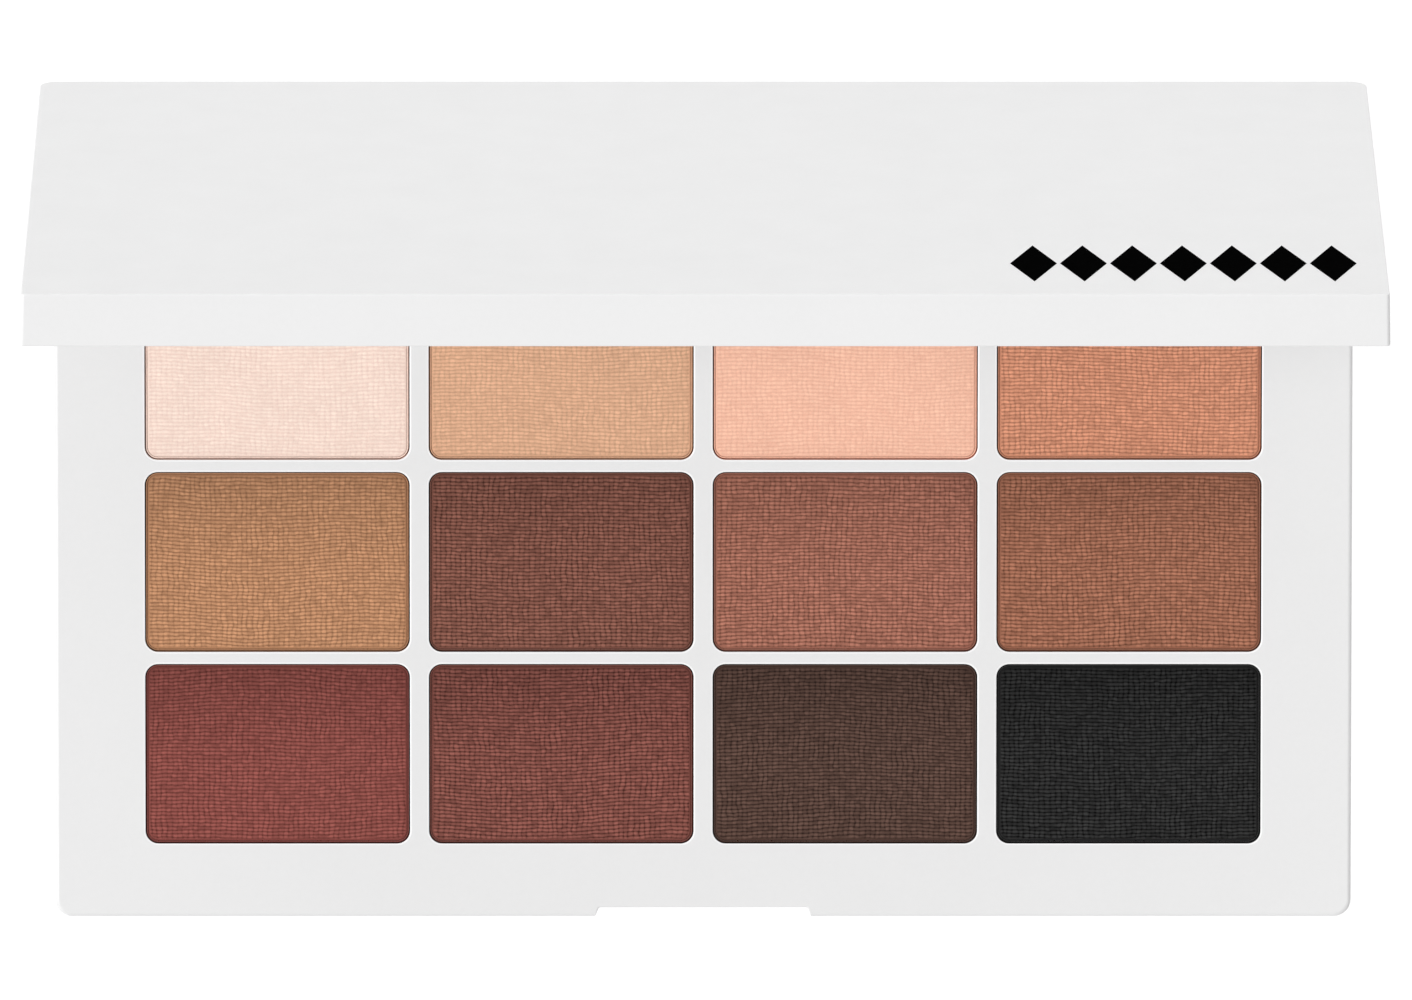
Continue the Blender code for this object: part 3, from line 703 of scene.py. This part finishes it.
def build_powder(well, seed, relief=0.085):
    lo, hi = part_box(f"powder_{well}")
    cx, cy = (lo.x + hi.x) / 2 / MM, (lo.y + hi.y) / 2 / MM
    grow = 0.21                                # the cake fills the pan's thin wall
    hx, hy = (hi.x - lo.x) / 2 / MM + grow, (hi.y - lo.y) / 2 / MM + grow
    r, z_low, z_edge = 1.0 + grow, lo.z / MM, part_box(f"pan_{well}")[1].z / MM - 0.06
    nx, ny = round(2 * hx / (WARP / STEPS_U)), round(2 * hy / (WEFT / STEPS_V))
    warp, weft = 2 * hx / nx * STEPS_U, 2 * hy / ny * STEPS_V

    def rim_distance(X, Y):
        qx, qy = np.abs(X) - (hx - r), np.abs(Y) - (hy - r)
        return np.maximum(r - np.hypot(np.maximum(qx, 0), np.maximum(qy, 0)) - np.minimum(np.maximum(qx, qy), 0), 0)

    # a regular grid, a whole number of steps to a thread, whose corners are rolled round
    X, Y = np.meshgrid(np.linspace(-hx, hx, nx + 1), np.linspace(-hy, hy, ny + 1))
    a = np.clip((np.abs(X) - (hx - r)) / r, 0, 1)
    b = np.clip((np.abs(Y) - (hy - r)) / r, 0, 1)
    norm = np.maximum(np.hypot(a, b), 1e-9)
    k = np.where((a > 0) & (b > 0), np.maximum(a, b) / norm, 1.0)
    X = np.where((a > 0) & (b > 0), np.sign(X) * (hx - r + a * k * r), X)
    Y = np.where((a > 0) & (b > 0), np.sign(Y) * (hy - r + b * k * r), Y)

    def bow(X, Y):
        """How far the cloth has slid along each axis: the rows bow and the columns lean."""
        rng = np.random.default_rng(seed + 5)
        up = drift(rng, X, Y, 30.0, 0.20) + drift(rng, X, Y, 9.0, 0.035)
        side = drift(rng, X, Y, 26.0, 0.12) + drift(rng, X, Y, 7.0, 0.03)
        return side, up

    held = np.clip(rim_distance(X, Y) / 1.4, 0, 1)
    held = held * held * (3 - 2 * held)
    px, py = X, Y
    for _ in range(3):                         # the grid follows the threads, and stays put at the rim
        side, up = bow(px, py)
        px, py = X - held * side, Y - held * up
    X, Y = px, py
    side, up = bow(X, Y)
    u, v = (X + hx + side) / warp + 40.0, (Y + hy + up) / weft + 40.0
    inside = rim_distance(X, Y)
    h = cloth(u, v, X + cx, Y + cy, seed)
    full = np.clip((inside - 0.16) / 0.16, 0, 1)
    full = full * full * (3 - 2 * full)
    crown = 0.08 * (1 - np.exp(-inside / 2.5))
    roll = 0.12
    t = np.clip(inside / roll, 0, 1)
    shoulder = -roll * (1 - np.sqrt(1 - (1 - t) ** 2)) * 0.7
    Z = z_edge + crown + shoulder + relief * (h - 0.62) * full
    # painted shade: in rows two and three the powder is darker towards the back edge, and every cake is a little
    # darker near the rim
    back = np.clip((Y / hy + 0.15) / 1.15, 0, 1)
    shade = {"r1": 1.0, "r2": 1.05 - 0.23 * back ** 1.3, "r3": 1.055 - 0.28 * back ** 1.3}[well[:2]]
    shade = np.broadcast_to(shade, X.shape) * (1.0 - 0.05 * np.exp(-inside / 0.9))
    top = np.stack([X + cx, Y + cy, Z], -1).reshape(-1, 3)
    index = np.arange((nx + 1) * (ny + 1)).reshape(ny + 1, nx + 1)
    quads = np.stack([index[:-1, :-1], index[:-1, 1:], index[1:, 1:], index[1:, :-1]], -1).reshape(-1, 4)
    rim = np.concatenate([index[0, :-1], index[:-1, -1], index[-1, :0:-1], index[:0:-1, 0]])
    n, m = len(top), len(rim)
    wall = top[rim].copy()
    wall[:, 2] = z_low
    around = np.arange(m)
    after = np.roll(around, -1)
    sides = np.stack([rim, n + around, n + after, rim[after]], -1)
    places = np.concatenate([top, wall]) * MM
    mesh = bpy.data.meshes.new(f"cake_{well}")
    loops = np.concatenate([quads.ravel(), sides.ravel(), n + around[::-1]])
    starts = np.concatenate([np.arange(len(quads) + len(sides)) * 4, [4 * (len(quads) + len(sides))]])
    mesh.vertices.add(len(places))
    mesh.vertices.foreach_set("co", places.astype(np.float32).ravel())
    mesh.loops.add(len(loops))
    mesh.loops.foreach_set("vertex_index", loops.astype(np.int32))
    mesh.polygons.add(len(starts))
    mesh.polygons.foreach_set("loop_start", starts.astype(np.int32))
    mesh.update(calc_edges=True)
    mesh.validate()
    threads = np.stack([u, v, full], -1).reshape(-1, 3)
    threads = np.concatenate([threads, threads[rim] * (1, 1, 0)])
    mesh.attributes.new("threads", "FLOAT_VECTOR", "POINT").data.foreach_set("vector", threads.astype(np.float32).ravel())
    # the cake's sides get painted shade too
    shade = np.concatenate([shade.ravel(), np.full(m, 0.9)])
    mesh.attributes.new("shade", "FLOAT", "POINT").data.foreach_set("value", shade.astype(np.float32))
    mesh.shade_smooth()
    mesh.set_sharp_from_angle(angle=math.radians(70))
    cake = bpy.data.objects.new(f"cake_{well}", mesh)
    bpy.context.scene.collection.objects.link(cake)
    mesh.materials.append(pressed_powder(f"powder_{well}", POWDER[well], WEAVE_PAINTED_LIGHT.get(well, DEFAULT_WEAVE_PAINTED_LIGHT)))
    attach(cake, "base")
    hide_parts(f"powder_{well}")


pan_metal = brushed_metal("pan_tin", (0.72, 0.71, 0.69), 0.32, (4.0, 1.0, 1.0))


def build_pan(well):
    lo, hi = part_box(f"pan_{well}")
    cx, cy = (lo.x + hi.x) / 2 / MM, (lo.y + hi.y) / 2 / MM
    w, d = (hi.x - lo.x) / MM + 0.12, (hi.y - lo.y) / MM + 0.12
    z0, z1, r, t, seg = lo.z / MM, hi.z / MM, WELL_R - PAN_GAP + 0.06, 0.13, 8
    def at(inward, z):
        return outline(w - 2 * inward, d - 2 * inward, max(r - inward, 0.5), cx, cy, seg), z
    foot = [(0.45 * (1 - math.sin(a)), z0 + 0.45 * (1 - math.cos(a))) for a in (math.pi / 2 * i / 5 for i in range(6))]
    rings = [at(i, z) for i, z in foot] + [at(0, z1 - 1.1), at(0, z1 - 0.04), at(0.04, z1), at(t - 0.04, z1), at(t, z1 - 0.04),
                                           at(t, z0 + 0.5), at(t + 0.2, z0 + 0.24)]
    bm = bmesh.new()
    skin(bm, rings)
    pan = solid(f"tin_{well}", bm, pan_metal)
    pan.data.materials.append(DUST[well])
    for face in pan.data.polygons:
        if face.center.z > (z1 - 1.0) * MM or (face.center.z > (z1 - 1.12) * MM and len(face.vertices) == 4):
            face.material_index = 1
    smooth(pan)
    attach(pan, "base")
    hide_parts(f"pan_{well}")


def dress(node, material):
    obj = nodes[node]
    obj.data.materials.clear()
    obj.data.materials.append(material)


build_base()
build_lid()
build_mirror()
build_print()
for number, well in enumerate(WELLS):
    build_powder(well, 1200 + 17 * number)
    build_pan(well)

steel = brushed_metal("pin_wire", (0.60, 0.60, 0.61), 0.24, (1.0, 14.0, 14.0))
nickel = brushed_metal("magnet_plating", (0.70, 0.68, 0.64), 0.20, (2.0, 2.0, 2.0))
glue = melted_glue("hot_glue", (0.80, 0.76, 0.62))
dress("base_bottom_plate", moulded_white("plate_white", (0.80, 0.80, 0.80), 0.5))
dress("base_label", coated_paper("label_paper", (0.80, 0.80, 0.79)))
dress("mirror_adhesive", foam("foam_tape", (0.86, 0.86, 0.84)))
for word in ("left", "right"):
    dress(f"hinge_pin_{word}", steel)
    dress(f"base_magnet_{word}", nickel)
    dress(f"lid_magnet_{word}", nickel)
for well in WELLS:
    dress(f"glue_{well}", glue)

# ------------------------------------------------------------------ floor, light and camera
bm = bmesh.new()
bmesh.ops.create_grid(bm, x_segments=2, y_segments=2, size=6.0)
for v in bm.verts:
    v.co.z = -0.0003
pale = Nodes("pale_floor", (0.15, 0.15, 0.15), 0.9, Specular_IOR_Level=0.1)
pale.shader.inputs["Emission Color"].default_value = (1.0, 1.0, 1.0, 1.0)
pale.shader.inputs["Emission Strength"].default_value = 0.94
floor = solid("floor", bm, pale.material)

world = bpy.data.worlds.new("studio")
bpy.context.scene.world = world
world.use_nodes = True
world.node_tree.nodes["Background"].inputs["Color"].default_value = (1.0, 1.0, 1.0, 1.0)
world.node_tree.nodes["Background"].inputs["Strength"].default_value = 0.46


def softbox(name, place, size, power, aim=(0.0, 0.0, 0.0)):
    light = bpy.data.lights.new(name, "AREA")
    light.shape, light.size, light.size_y, light.energy = "RECTANGLE", size[0], size[1], power
    obj = bpy.data.objects.new(name, light)
    bpy.context.scene.collection.objects.link(obj)
    obj.location = place
    obj.rotation_euler = (Vector(aim) - Vector(place)).to_track_quat("-Z", "Y").to_euler()
    return obj


softbox("back", (0.0, 1.5, 0.55), (1.8, 0.4), 4.45)
key = bpy.data.objects.new("key", bpy.data.lights.new("key", "SUN"))
key.data.energy, key.data.angle = 2.12, math.radians(24)
bpy.context.scene.collection.objects.link(key)
key.rotation_euler = Vector((0.57, 0.05, -0.82)).to_track_quat("-Z", "Y").to_euler()

view = bpy.context.scene.view_settings
view.view_transform = "Standard"
view.look = "None"
view.exposure, view.gamma = 0.0, 1.0

TILT, LEAN, DISTANCE, TARGET = math.radians(7.48), math.radians(-0.145), 2.863, Vector((0.00032, 0.00272, 0.008))
camera = bpy.data.cameras.new("camera")
camera.sensor_width, camera.lens = 36.0, 24824.0 / 1412.0 * 36.0
camera.clip_start, camera.clip_end = 0.1, 50.0
camera_object = bpy.data.objects.new("camera", camera)
bpy.context.scene.collection.objects.link(camera_object)
back = Vector((math.sin(LEAN), math.sin(TILT), math.cos(TILT))).normalized()
up = Vector((0.0, math.cos(TILT), -math.sin(TILT)))
right = up.cross(back).normalized()
up = back.cross(right)
turn = Matrix((right, up, back)).transposed().to_4x4()
camera_object.matrix_world = Matrix.Translation(TARGET + back * DISTANCE) @ turn
bpy.context.scene.camera = camera_object
